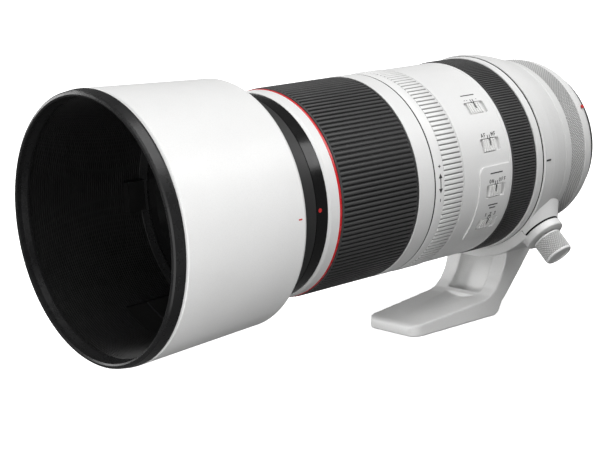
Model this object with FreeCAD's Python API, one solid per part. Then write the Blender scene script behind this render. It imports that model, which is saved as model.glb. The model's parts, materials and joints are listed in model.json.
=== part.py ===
"""White telephoto zoom lens with hood, tripod collar and foot.

Millimetres. The origin is the centre of the rear mount's flange face, on the optical axis.
+Y points out of the rear of the lens, +Z is up and the switches are on the +X side.
Angles round the barrel are measured in degrees from +Z towards +X.
"""
import os
from math import cos, pi, radians, sin, sqrt

import FreeCAD
import Part

V = FreeCAD.Vector
ORIGIN = V(0, 0, 0)
AXIS = V(0, 1, 0)

# ---- driving dimensions -------------------------------------------------------------------
GAP = 0.10                 # radial running clearance between pieces that move
SEAM = 0.20                # axial gap between neighbouring rings

HOOD_FRONT = -267.9
RIM_REAR = -262.1
HOOD_REAR = -200.2
HOOD_R_FRONT = 55.0
HOOD_R_REAR = 52.0
HOOD_WALL = 1.6
LINER_WALL = 1.1
LINER_PITCH = 1.0

LENS_FRONT = -207.6
FRONT_RING_REAR = -182.5
FRONT_RING_R = 43.76
FILTER_R = 38.5            # 77 mm accessory thread
FILTER_DEPTH = 4.4
NAME_BAND_REAR = -176.7
RED_RING_REAR = -175.5
NAME_BAND_R = 44.6

ZOOM_FRONT = -175.3
ZOOM_GRIP_REAR = -130.9
ZOOM_REAR = -121.5
ZOOM_R = 45.2
ZOOM_RIBS = 133

TENSION_FRONT = -121.0
TENSION_RIBS_FRONT = -115.5
TENSION_RIBS_REAR = -103.5
TENSION_REAR = -103.0
TENSION_RIBS = 129
BARREL_R = 45.3

SWITCH_FRONT = -102.8
SWITCH_REAR = -70.7
PANEL_FRONT = -93.0
PANEL_HEIGHT = 0.6
PANEL_ANGLES = (86.5, 134.0)
POCKET_LENGTH = 12.3
POCKET_WIDTH = 6.2
POCKET_FLOOR = 43.9
SLIDER_LENGTH = 8.0
SLIDER_WIDTH = 5.5
SWITCHES = (               # name, pocket centre y, angle, stands on the raised panel
    ("switch_limit", -83.4, 51.6, False),
    ("switch_focus", -83.4, 74.6, False),
    ("switch_steady", -82.4, 100.8, True),
    ("switch_mode", -82.4, 122.0, True),
)

FOCUS_FRONT = -70.5
FOCUS_REAR = -54.5
FOCUS_R = 45.65
FOCUS_RIBS = 213

REAR_BAND_FRONT = -54.3
REAR_BAND_REAR = -50.4
COLLAR_FRONT = -50.0
COLLAR_REAR = -30.1
COLLAR_BORE = 41.5
COLLAR_PROFILE = ((-50.0, 46.45), (-49.6, 46.85), (-42.0, 46.1), (-38.0, 45.3), (-30.5, 43.3), (-30.1, 42.9))
RETAINER_REAR = -24.1

CONTROL_FRONT = -23.9
CONTROL_REAR = -12.9
CONTROL_BORE = 39.1
CONTROL_R = 41.3
CONTROL_RIBS = 150
COVER_REAR = -5.4

FLANGE_R = 35.2
FLANGE_THICK = 5.4
SPIGOT_R = 26.6
THROAT_R = 24.8
SPIGOT_LENGTH = 5.2
LUG_R = 28.2

GUIDE_TUBE = (42.45, 43.2)
FRONT_TUBE = (41.3, 42.3)
CAM_TUBE = (40.2, 41.1)
INNER_TUBE = (39.1, 40.0)

FOOT_Z = -76.9
FOOT_FRONT = -107.4
FOOT_HALF_FRONT = 15.9
FOOT_HALF_REAR = 18.6
SADDLE_R = 50.8
SADDLE_ANGLES = (137.0, 223.0)
KNOB_ANGLE = 135.0
KNOB_Y = -40.0
KNOB_R = 7.0
KNOB_END = 65.5
BOSS_R = 9.8
BOSS_SEAM = 50.2
BOSS_TOP = 54.0
SCREW_R = 2.9
SOCKETS = ((-72.0, 3.175, 5.4), (-89.0, 4.7625, 6.9))   # y, thread radius, bush radius
SOCKET_DEPTH = 5.6


# ---- helpers ------------------------------------------------------------------------------
def turned(points, angle=360.0, start=0.0):
    """Solid of revolution about Y from (radius, y) points, from one angle round to another."""
    wire = Part.makePolygon([V(r, y, 0) for r, y in points] + [V(points[0][0], points[0][1], 0)])
    face = Part.Face(wire)
    face.rotate(ORIGIN, AXIS, start - 90.0)
    return face.revolve(ORIGIN, AXIS, angle)


def tube(r_in, r_out, y0, y1):
    """Plain tube about the optical axis."""
    body = Part.makeCylinder(r_out, y1 - y0, V(0, y0, 0), AXIS)
    if r_in > 0:
        body = body.cut(Part.makeCylinder(r_in, y1 - y0 + 2, V(0, y0 - 1, 0), AXIS))
    return body


def radial(angle):
    """Unit vector that points away from the axis at this angle."""
    return V(sin(radians(angle)), 0, cos(radians(angle)))


def tangent(angle):
    """Unit vector round the barrel, towards larger angles."""
    return V(cos(radians(angle)), 0, -sin(radians(angle)))


def peg(angle, y, radius, near, far, shift=0.0):
    """Cylinder that stands along the radial line at this angle."""
    base = radial(angle) * near + AXIS * y + tangent(angle) * shift
    return Part.makeCylinder(radius, far - near, base, radial(angle))


def block(angle, y0, y1, half_width, near, far, shift=0.0):
    """Box on the radial line at this angle: near and far are distances from the axis."""
    box = Part.makeBox(2 * half_width, y1 - y0, far - near, V(-half_width + shift, y0, near))
    box.rotate(ORIGIN, AXIS, angle)
    return box


def sector(r_in, r_out, y0, y1, a0, a1):
    """Piece of a tube between two angles."""
    return turned([(r_in, y0), (r_out, y0), (r_out, y1), (r_in, y1)], a1 - a0, a0)


def toothed(count, r_root, r_tip, y0, y1, land=0.55):
    """Solid with straight ribs along Y: land is the share of the pitch that stands proud."""
    points = []
    pitch = 360.0 / count
    for i in range(count):
        for share, radius in ((0.0, r_tip), (land, r_tip), (land + 0.12, r_root), (0.88, r_root)):
            a = radians((i + share - land / 2) * pitch)
            points.append(V(radius * sin(a), y0, radius * cos(a)))
    face = Part.Face(Part.makePolygon(points + [points[0]]))
    return face.extrude(AXIS * (y1 - y0))


def lens(radius, y_front, y_rear, bulge_front, bulge_rear):
    """Glass element: edge from y_front to y_rear, each face bulging outwards by its sagitta."""
    edges = [Part.makeLine(V(radius, y_front, 0), V(radius, y_rear, 0))]
    for y, bulge, sign in ((y_rear, bulge_rear, 1), (y_front, bulge_front, -1)):
        apex = V(0, y + sign * bulge, 0)
        if abs(bulge) < 1e-6:
            edges.append(Part.makeLine(V(radius, y, 0), V(0, y, 0)))
            continue
        ball = (radius ** 2 + bulge ** 2) / (2 * abs(bulge))
        half = radius / 2
        middle = y + sign * (bulge / abs(bulge)) * (sqrt(ball ** 2 - half ** 2) - (ball - abs(bulge)))
        edges.append(Part.Arc(V(radius, y, 0), V(half, middle, 0), apex).toShape())
    edges.append(Part.makeLine(V(0, y_front - bulge_front, 0), V(0, y_rear + bulge_rear, 0)))
    face = Part.Face(Part.Wire(Part.__sortEdges__(edges)))
    return face.revolve(ORIGIN, AXIS, 360)


def joined(shapes):
    """Union of a list of solids."""
    result = shapes[0]
    for shape in shapes[1:]:
        result = result.fuse(shape)
    return result.removeSplitter()


def hood_radius(y):
    """Outside radius of the hood, which narrows evenly to the rear."""
    share = (y - RIM_REAR) / (HOOD_REAR - RIM_REAR)
    return HOOD_R_FRONT + share * (HOOD_R_REAR - HOOD_R_FRONT)


# ---- hood ---------------------------------------------------------------------------------
WINDOW_ANGLE = 200.0
WINDOW_Y = (-222.0, -209.0)
WINDOW_HALF = 12.0
COVER_TRAVEL = 9.3
BUTTON_ANGLE = 270.0
BUTTON_Y = -210.4
BUTTON_R = 4.4
HOOD_COLLAR_R = FRONT_RING_R + 0.25
HOOD_LUG_ANGLES = (30.0, 150.0, 270.0)
HOOD_LUG_HALF = 6.0
HOOD_LUG_R = 43.0
HOOD_LUG_Y = (-203.7, -201.9)
HOOD_TURN = 55.0
LINER_REAR = -208.0


def liner_outer(y):
    """Radius of the inner face of the hood's wall."""
    share = (y - RIM_REAR) / (-205.0 - RIM_REAR)
    return HOOD_R_FRONT - HOOD_WALL - 0.2 + share * (50.3 - (HOOD_R_FRONT - HOOD_WALL - 0.2))


def hood_opening(r0, r1, grow=0.0):
    """Space of the filter window through a wall of the hood."""
    y0, y1 = WINDOW_Y
    half = WINDOW_HALF + grow
    return sector(r0, r1, y0 - grow * 0.3, y1 + grow * 0.3, WINDOW_ANGLE - half, WINDOW_ANGLE + half)


def hood_shell():
    outer = [(HOOD_R_FRONT - 0.9, RIM_REAR), (hood_radius(RIM_REAR + 0.9), RIM_REAR + 0.9)]
    outer.append((hood_radius(-205.2), -205.2))
    for i in range(6):
        a = radians(15 + 15 * i)
        outer.append((49.4 + 2.85 * cos(a), HOOD_REAR - 3.0 + 3.0 * sin(a)))
    inner = [(HOOD_COLLAR_R, HOOD_REAR), (HOOD_COLLAR_R, HOOD_REAR - 2.0), (48.6, HOOD_REAR - 2.0)]
    inner += [(50.3, -205.0), (HOOD_R_FRONT - HOOD_WALL - 0.2, RIM_REAR)]
    body = turned(outer + inner)
    body = body.cut(hood_opening(45.0, 56.0))
    return body.cut(peg(BUTTON_ANGLE, BUTTON_Y, BUTTON_R + GAP, 46.0, 56.0))


def hood_liner():
    steps = int((LINER_REAR - RIM_REAR) / LINER_PITCH)
    points = []
    for i in range(steps):
        y = RIM_REAR + i * LINER_PITCH
        base = liner_outer(y) - LINER_WALL
        points += [(base, y), (base, y + 0.35), (base + 0.3, y + 0.5), (base + 0.3, y + 0.85)]
    points += [(liner_outer(LINER_REAR) - LINER_WALL, LINER_REAR), (liner_outer(LINER_REAR), LINER_REAR)]
    points.append((liner_outer(RIM_REAR), RIM_REAR))
    body = turned(points)
    window = sector(44.0, 56.0, -233.5, -207.0, WINDOW_ANGLE - 14.5, WINDOW_ANGLE + 14.5)
    body = body.cut(window)
    housing = block(BUTTON_ANGLE, BUTTON_Y - 6.0, LINER_REAR, 6.5, 46.2, 50.2)
    body = body.fuse(housing)
    well = peg(BUTTON_ANGLE, BUTTON_Y, BUTTON_R + GAP, 47.2, 56.0)
    return body.cut(well)


def hood_bayonet():
    front = LINER_REAR + 0.05
    ring = turned([
        (HOOD_COLLAR_R, front), (50.0, front), (50.2, -205.1), (48.55, HOOD_REAR - 2.05),
        (HOOD_COLLAR_R, HOOD_REAR - 2.05)])
    lugs = [sector(HOOD_LUG_R, HOOD_COLLAR_R + 0.2, HOOD_LUG_Y[0], HOOD_LUG_Y[1] - 0.4,
                   a - HOOD_LUG_HALF, a + HOOD_LUG_HALF) for a in HOOD_LUG_ANGLES]
    body = joined([ring] + lugs)
    body = body.cut(peg(BUTTON_ANGLE, BUTTON_Y, BUTTON_R + 1.2, 46.0, 56.0))
    cover = sector(49.2, 56.0, -233.5, -206.8, WINDOW_ANGLE - 14.5, WINDOW_ANGLE + 14.5)
    return body.cut(cover)


def hood_rim():
    return turned([
        (HOOD_R_FRONT - 1.9, HOOD_FRONT), (HOOD_R_FRONT - 1.0, HOOD_FRONT + 0.25),
        (HOOD_R_FRONT - 0.5, HOOD_FRONT + 0.9), (HOOD_R_FRONT, RIM_REAR - 1.4),
        (HOOD_R_FRONT, RIM_REAR - 0.6), (HOOD_R_FRONT - 0.8, RIM_REAR - 0.5),
        (HOOD_R_FRONT - 0.8, RIM_REAR), (HOOD_R_FRONT - 3.4, RIM_REAR),
        (HOOD_R_FRONT - 3.4, RIM_REAR - 1.0), (HOOD_R_FRONT - 2.8, HOOD_FRONT + 2.2),
        (HOOD_R_FRONT - 2.6, HOOD_FRONT + 0.4)])


def hood_button():
    top = radial(BUTTON_ANGLE) * 52.9 + AXIS * BUTTON_Y
    cap = peg(BUTTON_ANGLE, BUTTON_Y, BUTTON_R, 49.0, 52.9)
    rim = [e for e in cap.Edges if e.CenterOfMass.distanceToPoint(top) < 0.05]
    cap = cap.makeFillet(0.5, rim[:1])
    return cap.fuse(peg(BUTTON_ANGLE, BUTTON_Y, 1.4, 48.6, 49.2))


def hood_window():
    half = WINDOW_HALF + 1.6
    y0, y1 = WINDOW_Y[0] - 1.2, WINDOW_Y[1] + 0.7
    top, thick = GAP + 0.05, 1.0
    plate = turned([
        (liner_outer(y0) - top - thick, y0), (liner_outer(y0) - top, y0), (liner_outer(y1) - top, y1),
        (liner_outer(y1) - top - thick, y1)], 2 * half, WINDOW_ANGLE - half)
    tabs = []
    for i in range(3):
        y = WINDOW_Y[1] - 3.4 + 1.1 * i
        tabs.append(sector(50.0, 52.1 - 0.3 * (i % 2), y, y + 1.1, WINDOW_ANGLE - 5, WINDOW_ANGLE + 5))
    return joined([plate] + tabs)


# ---- front barrel, which slides forwards with the zoom -----------------------------------
FRONT_BORE = 37.6          # inside the front ring, behind the filter thread


def front_ring():
    step = -188.7
    body = turned([
        (FILTER_R, LENS_FRONT), (FRONT_RING_R - 0.4, LENS_FRONT), (FRONT_RING_R, LENS_FRONT + 0.4),
        (FRONT_RING_R, -204.0), (HOOD_LUG_R - 0.25, -204.0), (HOOD_LUG_R - 0.25, -201.6),
        (FRONT_RING_R, -201.6), (FRONT_RING_R - 0.1, step - 0.3), (FRONT_RING_R - 0.55, step),
        (FRONT_RING_R, step + 0.3), (FRONT_RING_R, FRONT_RING_REAR), (FRONT_TUBE[1], FRONT_RING_REAR),
        (FRONT_TUBE[1], -190.0), (FRONT_BORE, -190.0), (FRONT_BORE, LENS_FRONT + FILTER_DEPTH),
        (FILTER_R, LENS_FRONT + FILTER_DEPTH)])
    for a in HOOD_LUG_ANGLES:
        entry = a + HOOD_TURN
        body = body.cut(sector(HOOD_LUG_R - 0.25, 46.0, LENS_FRONT - 1, -203.9,
                               entry - HOOD_LUG_HALF - 1.5, entry + HOOD_LUG_HALF + 1.5))
    return body


def front_retainer():
    front = LENS_FRONT + FILTER_DEPTH
    outer = FRONT_BORE - 0.05
    points = [(34.8, -199.3)]
    for i in range(4):
        r = 34.8 + 0.65 * i
        y = -200.2 - 0.75 * i
        points += [(r, y), (r + 0.65, y)]
    points += [(outer, front + 0.2), (outer, -199.3)]
    return turned(points)


def front_elements():
    first = lens(36.7, -198.9, -194.9, 3.3, -1.2)
    second = lens(35.0, -193.4, -190.4, 1.4, 1.6)
    return Part.makeCompound([first, second])


def front_cell():
    return turned([
        (36.75, -198.9), (FRONT_BORE - 0.05, -198.9), (FRONT_BORE - 0.05, -189.95), (41.25, -189.95),
        (41.25, -184.0), (33.0, -184.0), (33.0, -190.1), (35.05, -190.1), (35.05, -193.6),
        (34.0, -193.6), (34.0, -194.85), (36.75, -194.85)])


def front_tube():
    return tube(FRONT_TUBE[0], FRONT_TUBE[1], -190.0, -75.0)


def name_band():
    r = FRONT_TUBE[1]
    return turned([
        (r, FRONT_RING_REAR), (43.95, FRONT_RING_REAR), (NAME_BAND_R - 0.05, -181.3),
        (NAME_BAND_R, -181.0), (NAME_BAND_R, NAME_BAND_REAR), (r, NAME_BAND_REAR)])


def red_ring():
    return turned([
        (FRONT_TUBE[1], NAME_BAND_REAR), (NAME_BAND_R + 0.1, NAME_BAND_REAR),
        (NAME_BAND_R + 0.25, NAME_BAND_REAR + 0.3), (NAME_BAND_R + 0.25, RED_RING_REAR - 0.3),
        (NAME_BAND_R + 0.1, RED_RING_REAR), (FRONT_TUBE[1], RED_RING_REAR)])


# ---- zoom ring, cam barrel and variator ---------------------------------------------------
ZOOM_BORE = GUIDE_TUBE[1] + GAP
GRIP_SEAT = 44.3


def zoom_core():
    return turned([
        (ZOOM_BORE, ZOOM_FRONT), (GRIP_SEAT, ZOOM_FRONT), (GRIP_SEAT, ZOOM_GRIP_REAR),
        (GRIP_SEAT - 0.3, ZOOM_GRIP_REAR), (GRIP_SEAT - 0.3, ZOOM_REAR + 0.0), (ZOOM_BORE, ZOOM_REAR)])


def zoom_grip():
    lip = 1.1
    bore = Part.makeCylinder(GRIP_SEAT, 60, V(0, ZOOM_FRONT - 1, 0), AXIS)
    middle = toothed(ZOOM_RIBS, ZOOM_R - 0.65, ZOOM_R, ZOOM_FRONT + lip, ZOOM_GRIP_REAR - lip)
    ends = [tube(0, ZOOM_R - 0.25, ZOOM_FRONT, ZOOM_FRONT + lip),
            tube(0, ZOOM_R - 0.25, ZOOM_GRIP_REAR - lip, ZOOM_GRIP_REAR)]
    return joined([middle] + ends).cut(bore)


def zoom_band():
    r = GRIP_SEAT - 0.3
    return turned([
        (r, ZOOM_GRIP_REAR), (BARREL_R - 0.15, ZOOM_GRIP_REAR), (BARREL_R, ZOOM_GRIP_REAR + 0.4),
        (BARREL_R, ZOOM_REAR - 0.3), (BARREL_R - 0.25, ZOOM_REAR), (r, ZOOM_REAR)])


def cam_barrel():
    body = tube(CAM_TUBE[0], CAM_TUBE[1], -168.0, -78.0)
    for turn in (0, 120, 240):
        for i in range(16):
            angle = turn + 5.0 * i
            y = -150.0 + 3.6 * i
            body = body.cut(peg(angle, y, 2.4, 38.0, 43.0))
    return body


def variator_cell():
    return turned([
        (28.0, -152.0), (30.0, -152.0), (30.0, -147.0), (36.0, -147.0), (36.0, -150.0),
        (INNER_TUBE[0] - GAP, -150.0), (INNER_TUBE[0] - GAP, -136.0), (37.0, -136.0), (37.0, -144.0),
        (30.0, -144.0), (30.0, -138.0), (28.0, -138.0)])


def variator_elements():
    first = lens(27.95, -151.0, -147.5, 1.4, -1.8)
    second = lens(27.95, -142.5, -139.5, -0.9, 0.8)
    return Part.makeCompound([first, second])


# ---- tension ring -------------------------------------------------------------------------
def tension_ring():
    bore = Part.makeCylinder(ZOOM_BORE, 40, V(0, TENSION_FRONT - 1, 0), AXIS)
    lead = turned([(0, TENSION_FRONT), (BARREL_R - 0.2, TENSION_FRONT), (BARREL_R, TENSION_FRONT + 0.3),
                   (BARREL_R, TENSION_RIBS_FRONT), (0, TENSION_RIBS_FRONT)])
    ribs = toothed(TENSION_RIBS, BARREL_R - 0.3, BARREL_R + 0.2, TENSION_RIBS_FRONT, TENSION_RIBS_REAR, 0.66)
    tail = tube(0, BARREL_R, TENSION_RIBS_REAR, TENSION_REAR)
    seat = tube(0, 44.1, TENSION_FRONT - 1, -117.5)
    return joined([lead, ribs, tail]).cut(bore).cut(seat)


def tension_brake():
    return tube(ZOOM_BORE, 44.1, TENSION_FRONT, -117.5)


# ---- fixed barrel -------------------------------------------------------------------------
def guide_tube():
    return tube(GUIDE_TUBE[0], GUIDE_TUBE[1], -174.8, -55.6)


def pocket(y, angle):
    """Recess that a switch slides in."""
    half = POCKET_LENGTH / 2
    shape = block(angle, y - half, y + half, POCKET_WIDTH / 2, POCKET_FLOOR, 48.0)
    upright = [e for e in shape.Edges if abs(abs(e.tangentAt(e.FirstParameter).dot(radial(angle))) - 1) < 1e-6]
    return shape.makeFillet(0.8, upright)


def switch_barrel():
    r_in = GUIDE_TUBE[1]
    body = turned([
        (r_in, SWITCH_FRONT), (BARREL_R - 0.2, SWITCH_FRONT), (BARREL_R - 0.1, SWITCH_FRONT + 0.2),
        (BARREL_R - 0.1, -73.1), (BARREL_R - 0.45, -72.7), (BARREL_R - 0.1, -72.3),
        (BARREL_R - 0.1, SWITCH_REAR - 0.3), (BARREL_R - 0.4, SWITCH_REAR), (r_in, SWITCH_REAR)])
    for _, y, angle, _ in SWITCHES:
        body = body.cut(pocket(y, angle))
    return body


def switch_panel():
    a0, a1 = PANEL_ANGLES
    r0 = BARREL_R - 0.1
    y1 = -73.2
    corner = 3.2
    shape = sector(r0, r0 + PANEL_HEIGHT, PANEL_FRONT, y1, a0, a1)
    for angle, side in ((a0, 1), (a1, -1)):
        inset = angle + side * corner / r0 * 180 / pi
        low, high = sorted((angle - side * 2, inset))
        waste = sector(r0 - 1, r0 + 3, PANEL_FRONT - 1, PANEL_FRONT + corner, low, high)
        waste = waste.cut(peg(inset, PANEL_FRONT + corner, corner, r0 - 3, r0 + 5))
        shape = shape.cut(waste)
    for _, y, angle, on_panel in SWITCHES:
        if on_panel:
            shape = shape.cut(pocket(y, angle))
    return shape


def rear_barrel():
    r_in = COLLAR_BORE - 2.0
    seat = COLLAR_BORE - GAP
    band = 46.0
    control = CONTROL_BORE - GAP
    return turned([
        (GUIDE_TUBE[1], FOCUS_FRONT), (44.35, FOCUS_FRONT), (44.35, REAR_BAND_FRONT),
        (band - 0.3, REAR_BAND_FRONT), (band, REAR_BAND_FRONT + 0.4), (band + 0.1, REAR_BAND_REAR - 0.3),
        (band - 0.4, REAR_BAND_REAR), (seat, REAR_BAND_REAR), (seat, RETAINER_REAR),
        (control, RETAINER_REAR), (control, CONTROL_REAR + SEAM), (control - 1.6, CONTROL_REAR + SEAM),
        (control - 1.6, -28.0), (r_in, -30.0), (r_in, -55.6), (GUIDE_TUBE[1], -55.6)])


def collar_retainer():
    seat = COLLAR_BORE - GAP
    return turned([
        (seat, COLLAR_REAR + SEAM), (42.8, COLLAR_REAR + SEAM), (43.05, COLLAR_REAR + 0.6),
        (41.95, RETAINER_REAR - 0.3), (41.7, RETAINER_REAR), (seat, RETAINER_REAR)])


def rear_cover():
    front = CONTROL_REAR + SEAM
    return turned([
        (30.0, front), (40.7, front), (40.95, front + 0.3), (40.2, -8.5), (39.2, -6.2),
        (38.4, COVER_REAR), (30.0, COVER_REAR)])


# ---- rear mount ---------------------------------------------------------------------------
MOUNT_SCREW_ANGLES = (20, 110, 200, 290)
MOUNT_SCREW_PCR = 31.4


def mount_bayonet():
    body = turned([
        (THROAT_R, -FLANGE_THICK), (FLANGE_R - 0.3, -FLANGE_THICK), (FLANGE_R, -FLANGE_THICK + 0.3),
        (FLANGE_R, -0.35), (FLANGE_R - 0.35, 0.0), (SPIGOT_R, 0.0), (SPIGOT_R, SPIGOT_LENGTH - 0.4),
        (SPIGOT_R - 0.4, SPIGOT_LENGTH), (THROAT_R, SPIGOT_LENGTH)])
    lugs = [sector(SPIGOT_R - 0.3, LUG_R, 2.3, 3.9, a - 26, a + 26) for a in (60.9, 180.9, 300.9)]
    body = joined([body] + lugs)
    for a in MOUNT_SCREW_ANGLES:
        centre = radial(a) * MOUNT_SCREW_PCR
        body = body.cut(Part.makeCylinder(1.62, 1.6, centre + V(0, -1.5, 0), AXIS))
        body = body.cut(Part.makeCylinder(0.82, 8, centre + V(0, -7, 0), AXIS))
    return body


def mount_screws():
    screws = []
    for a in MOUNT_SCREW_ANGLES:
        centre = radial(a) * MOUNT_SCREW_PCR
        head = Part.makeCylinder(1.6, 1.2, centre + V(0, -1.5, 0), AXIS)
        shank = Part.makeCylinder(0.8, FLANGE_THICK - 1.4, centre + V(0, -FLANGE_THICK + 0.05, 0), AXIS)
        slot = Part.makeBox(2.0, 1.0, 0.4, V(-1.0, -0.9, -0.2))
        cross = Part.makeBox(0.4, 1.0, 2.0, V(-0.2, -0.9, -1.0))
        for cut in (slot, cross):
            cut.translate(centre)
        screws.append(head.fuse(shank).cut(slot).cut(cross))
    return Part.makeCompound(screws)


def mount_seal():
    return turned([(FLANGE_R, -1.9), (FLANGE_R + 0.7, -1.7), (FLANGE_R + 0.9, -0.9), (FLANGE_R, -0.9)])


def contact_block():
    return sector(21.6, THROAT_R - 0.05, -3.5, SPIGOT_LENGTH - 0.2, 138.0, 222.0)


def contact_pins():
    pins = []
    for i in range(12):
        angle = 146.0 + i * (68.0 / 11)
        pins.append(Part.makeCylinder(0.55, 0.5, radial(angle) * 23.2 + V(0, SPIGOT_LENGTH - 0.2, 0), AXIS))
    return Part.makeCompound(pins)


def rear_baffle():
    disc = tube(0, 29.0, -FLANGE_THICK - 1.5, -FLANGE_THICK)
    return disc.cut(Part.makeBox(33.0, 4.0, 25.0, V(-16.5, -FLANGE_THICK - 2.5, -12.5)))


def main_board():
    board = tube(26.0, CONTROL_BORE - GAP - 1.65, -17.2, -16.0)
    chips = [block(a, -18.4, -17.2, 4.0, 28.5, 35.0) for a in (30, 80, 130, 230, 300)]
    return joined([board] + chips)


# ---- inner optics -------------------------------------------------------------------------
def inner_tube():
    body = tube(INNER_TUBE[0], INNER_TUBE[1], -165.0, -55.7)
    for turn in (0, 120, 240):
        slot = block(turn + 60, -158.0, -96.0, 1.6, 36.0, 42.0)
        body = body.cut(slot)
    return body


def steady_housing():
    r = INNER_TUBE[0]
    return turned([(24.0, -121.0), (r, -121.0), (r, -104.0), (24.0, -104.0), (24.0, -105.6),
                   (34.0, -105.6), (34.0, -119.4), (24.0, -119.4)])


def steady_frame():
    plate = tube(22.6, 31.5, -119.2, -116.0)
    return plate


def steady_cell():
    return joined([tube(18.2, 21.0, -115.8, -108.0), tube(18.2, 30.0, -115.8, -113.8)])


def steady_element():
    return lens(18.2, -113.6, -110.0, 1.2, -0.6)


def iris_unit():
    body = tube(14.5, INNER_TUBE[0], -101.0, -96.5)
    blades = []
    for i in range(9):
        blades.append(sector(13.0, 20.0, -99.0, -98.6, 40 * i, 40 * i + 39))
    return joined([body] + blades)


def focus_cell():
    ring = tube(17.2, 24.0, -81.0, -73.0)
    arms = [block(a, -79.0, -75.0, 2.6, 23.0, 33.4) for a in (90, 270)]
    body = joined([ring] + arms)
    for a in (90, 270):
        body = body.cut(Part.makeCylinder(1.3 + 0.05, 20, radial(a) * 30.5 + V(0, -87, 0), AXIS))
    return body


def focus_element():
    return lens(17.2, -79.5, -76.5, -0.8, 1.2)


def focus_rods():
    rods = []
    for a in (90, 270):
        rods.append(Part.makeCylinder(1.3, 36.4, radial(a) * 30.5 + V(0, -96.5, 0), AXIS))
    return Part.makeCompound(rods)


def focus_motor():
    case = Part.makeBox(13.0, 26.0, 6.5, V(-6.5, -92.0, -36.5))
    screw = Part.makeCylinder(1.2, 4.0, V(0, -66.0, -33.0), AXIS)
    return case.fuse(screw)


def rear_cell():
    return turned([
        (22.0, -60.0), (INNER_TUBE[0] - 0.05, -60.0), (INNER_TUBE[0] - 0.05, -57.0), (25.0, -57.0),
        (25.0, -17.4), (20.0, -17.4), (20.0, -19.4), (23.0, -19.4), (23.0, -56.0), (22.0, -57.0)])


def rear_element():
    return lens(23.0, -24.0, -19.5, 1.6, -2.2)


# ---- rings that turn ----------------------------------------------------------------------
FOCUS_BORE = 44.35 + GAP


def focus_core():
    return tube(FOCUS_BORE, FOCUS_BORE + 0.5, FOCUS_FRONT + 0.1, FOCUS_REAR)


def focus_grip():
    seat = FOCUS_BORE + 0.5
    lip = 0.6
    front = FOCUS_FRONT + 0.1
    middle = toothed(FOCUS_RIBS, FOCUS_R - 0.5, FOCUS_R, front + lip, FOCUS_REAR - lip)
    ends = [tube(0, FOCUS_R - 0.2, front, front + lip),
            tube(0, FOCUS_R - 0.2, FOCUS_REAR - lip, FOCUS_REAR)]
    return joined([middle] + ends).cut(Part.makeCylinder(seat, 30, V(0, FOCUS_FRONT - 1, 0), AXIS))


def control_ring():
    ends = [tube(0, CONTROL_R - 0.2, CONTROL_FRONT, CONTROL_FRONT + 0.6),
            tube(0, CONTROL_R - 0.3, CONTROL_REAR - 0.6, CONTROL_REAR)]
    middle = toothed(CONTROL_RIBS, CONTROL_R - 0.4, CONTROL_R, CONTROL_FRONT + 0.6, CONTROL_REAR - 0.6, 0.4)
    return joined([middle] + ends).cut(Part.makeCylinder(CONTROL_BORE, 20, V(0, CONTROL_FRONT - 1, 0), AXIS))


def switch_slider(y, angle, raised):
    """Sliding button of one switch, with grip ribs across its travel."""
    top = BARREL_R + (PANEL_HEIGHT if raised else 0.0) - 0.35
    half = SLIDER_LENGTH / 2
    base = block(angle, y - half, y + half, SLIDER_WIDTH / 2, POCKET_FLOOR + 0.1, top)
    ribs = []
    for i in range(5):
        y0 = y - half + 0.5 + i * 1.5
        ribs.append(block(angle, y0, y0 + 0.8, SLIDER_WIDTH / 2 - 0.3, top - 0.2, top + 0.35))
    return joined([base] + ribs)


# ---- tripod collar, foot and clamp knob ---------------------------------------------------
def collar_ring():
    body = turned([(COLLAR_BORE, COLLAR_FRONT)] + [(r, y) for y, r in COLLAR_PROFILE] + [(COLLAR_BORE, COLLAR_REAR)])
    foot = radial(KNOB_ANGLE) * 43.0 + AXIS * KNOB_Y
    pad = Part.makeCone(BOSS_R + 5.0, BOSS_R, BOSS_SEAM - 0.7 - 43.0, foot, radial(KNOB_ANGLE))
    pad = pad.common(Part.makeBox(200, COLLAR_REAR - COLLAR_FRONT - 0.2, 200, V(-100, COLLAR_FRONT + 0.1, -100)))
    clear = sector(0.1, 70.0, COLLAR_FRONT - 5, COLLAR_REAR + 5, SADDLE_ANGLES[0] - 0.25, SADDLE_ANGLES[0] + 40)
    bore = Part.makeCylinder(COLLAR_BORE, 40, V(0, COLLAR_FRONT - 5, 0), AXIS)
    body = body.fuse(pad.cut(clear).cut(bore)).removeSplitter()
    return body.cut(peg(KNOB_ANGLE, KNOB_Y, SCREW_R + GAP, 40.0, 60.0))


def foot_plan():
    """Outline of the plate seen from below, as a tall prism."""
    corner = 6.0
    x1, x0 = FOOT_HALF_FRONT, FOOT_HALF_REAR
    y1, y0, rear = FOOT_FRONT, -46.0, -20.0
    outline = [(-x0, rear), (x0, rear), (x0, y0), (x1, y1), (-x1, y1), (-x0, y0), (-x0, rear)]
    wire = Part.makePolygon([V(x, y, -90) for x, y in outline])
    prism = Part.Face(wire).extrude(V(0, 0, 60))
    edges = [e for e in prism.Edges if abs(e.CenterOfMass.z + 60) < 0.1 and e.CenterOfMass.y < FOOT_FRONT + 1]
    return prism.makeFillet(corner, edges)


def foot_side():
    """Side view of plate and legs, as a wide prism."""
    points = [
        (FOOT_FRONT + 0.6, FOOT_Z), (FOOT_FRONT, FOOT_Z + 0.8), (FOOT_FRONT, -74.0), (-107.0, -72.6),
        (-106.0, -71.7), (-104.2, -71.15), (-62.0, -67.9), (-57.5, -66.9), (-53.6, -64.0),
        (-50.2, -59.5), (-46.6, -52.0), (-45.0, -46.0), (-45.0, -38.0), (-30.2, -38.0), (-30.2, -47.0),
        (-27.0, -48.3), (-49.3, -71.3), (-51.6, -75.3), (-54.2, FOOT_Z)]
    wire = Part.makePolygon([V(-30, y, z) for y, z in points + points[:1]])
    return Part.Face(wire).extrude(V(60, 0, 0))


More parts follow.
